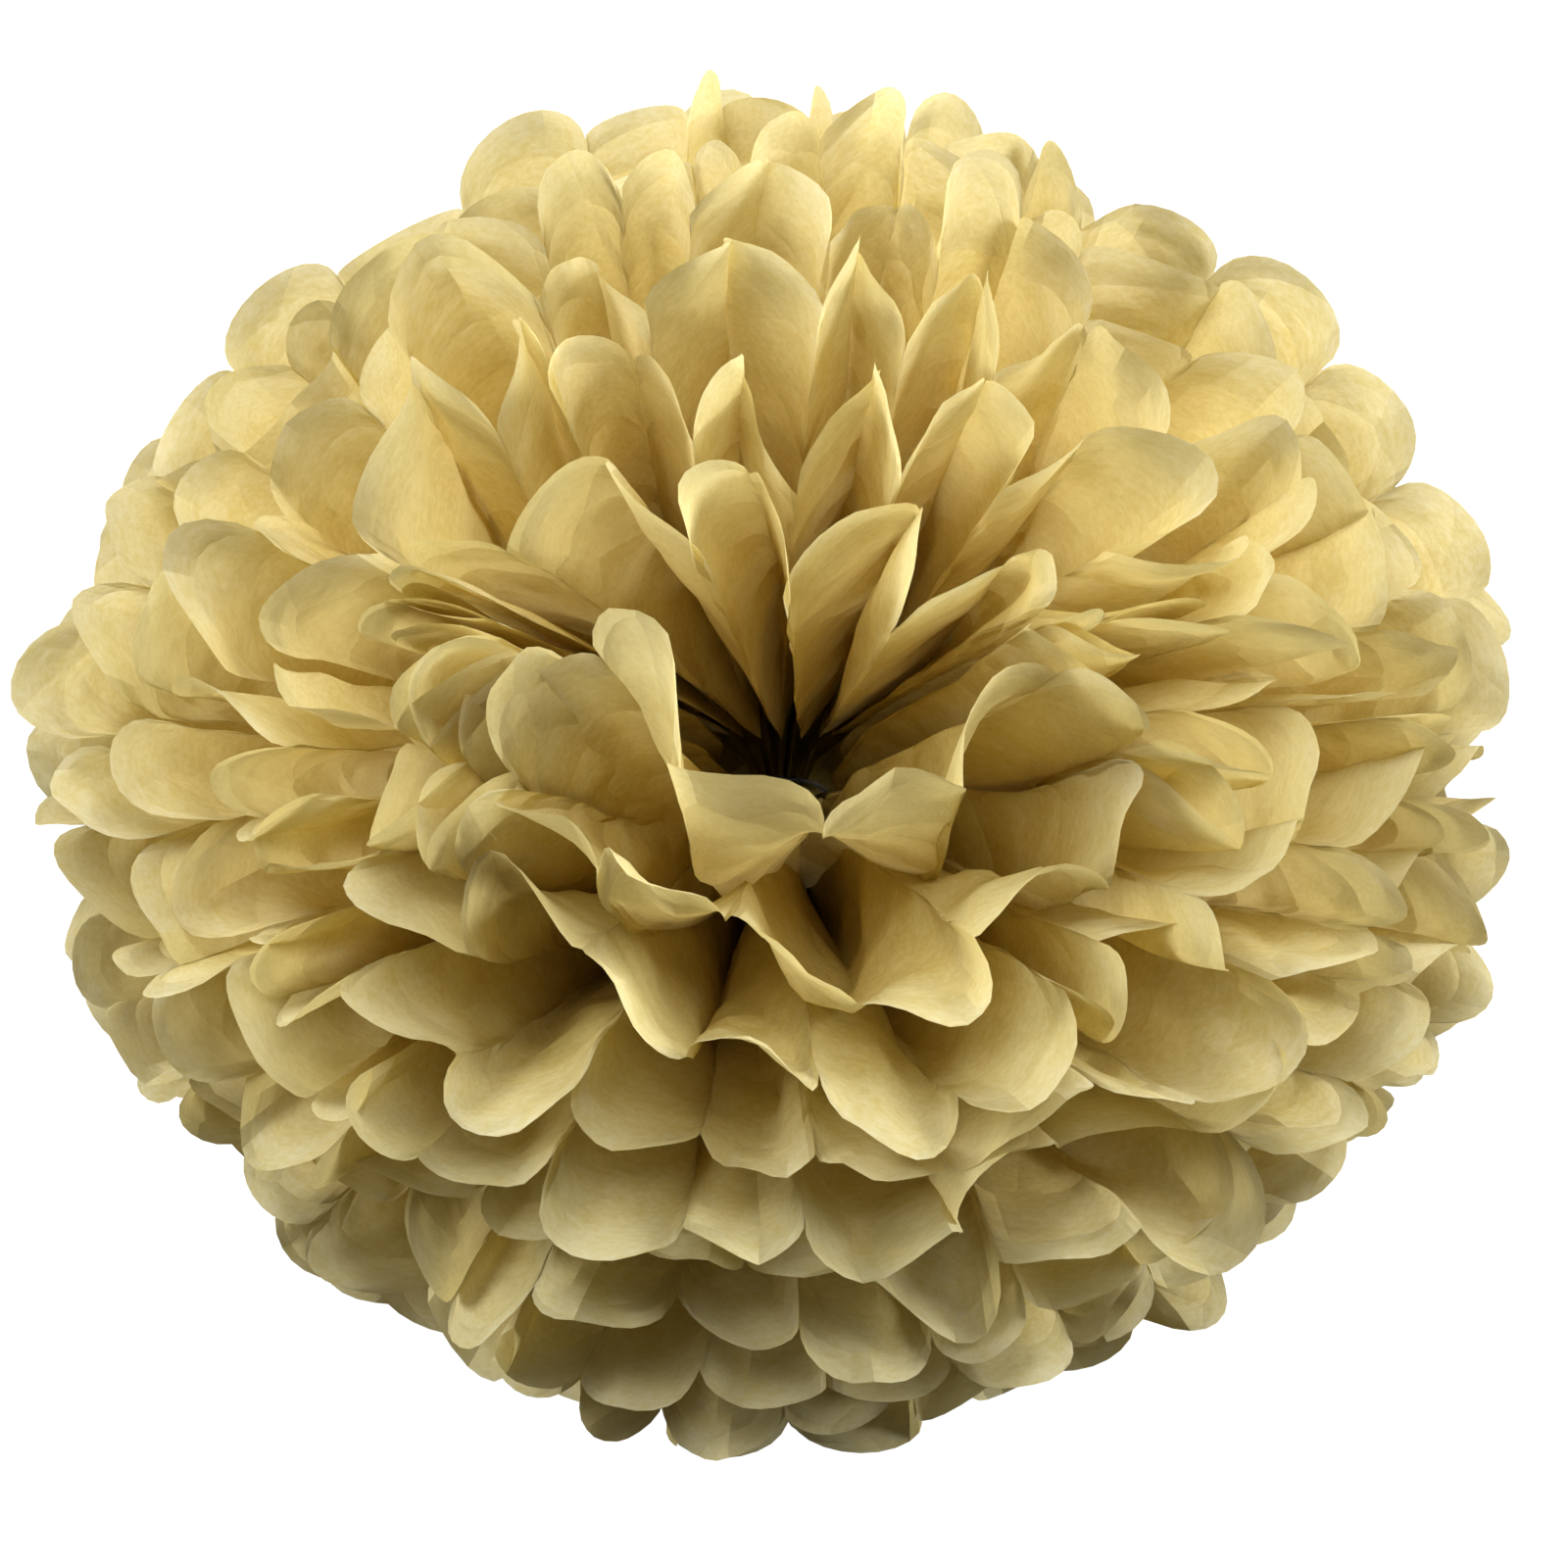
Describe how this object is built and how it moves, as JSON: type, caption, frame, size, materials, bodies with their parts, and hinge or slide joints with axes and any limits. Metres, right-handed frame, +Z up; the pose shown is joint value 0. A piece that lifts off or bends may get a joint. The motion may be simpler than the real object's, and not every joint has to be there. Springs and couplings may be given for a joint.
{
  "type": "tissue paper pom pom",
  "caption": "Ball-shaped pom pom of accordion-folded tissue paper with scalloped petals, tied at its middle with wire and fluffed open.",
  "frame": {"origin": "centre of the ball's outline, on the table under it", "axes": "+Z up through the bud of the topmost sheet; the folded strip runs along Y, so the parting between its two fanned halves runs along X; -Y is the front of the picture"},
  "size_m": [0.24, 0.224, 0.1975],
  "materials": {
    "tissue_paper": "matte, thin, lets light through",
    "wire": "satin"
  },
  "bodies": {
    "root": {"tissue_sheet_01": "tissue_paper", "tissue_sheet_02": "tissue_paper", "tissue_sheet_03": "tissue_paper", "tissue_sheet_04": "tissue_paper", "tissue_sheet_05": "tissue_paper", "tissue_sheet_06": "tissue_paper", "tissue_sheet_07": "tissue_paper", "tissue_sheet_08": "tissue_paper", "tissue_sheet_09": "tissue_paper", "tissue_sheet_10": "tissue_paper", "tissue_sheet_11": "tissue_paper", "tissue_sheet_12": "tissue_paper", "tie_wire": "wire"}
  },
  "joints": []
}
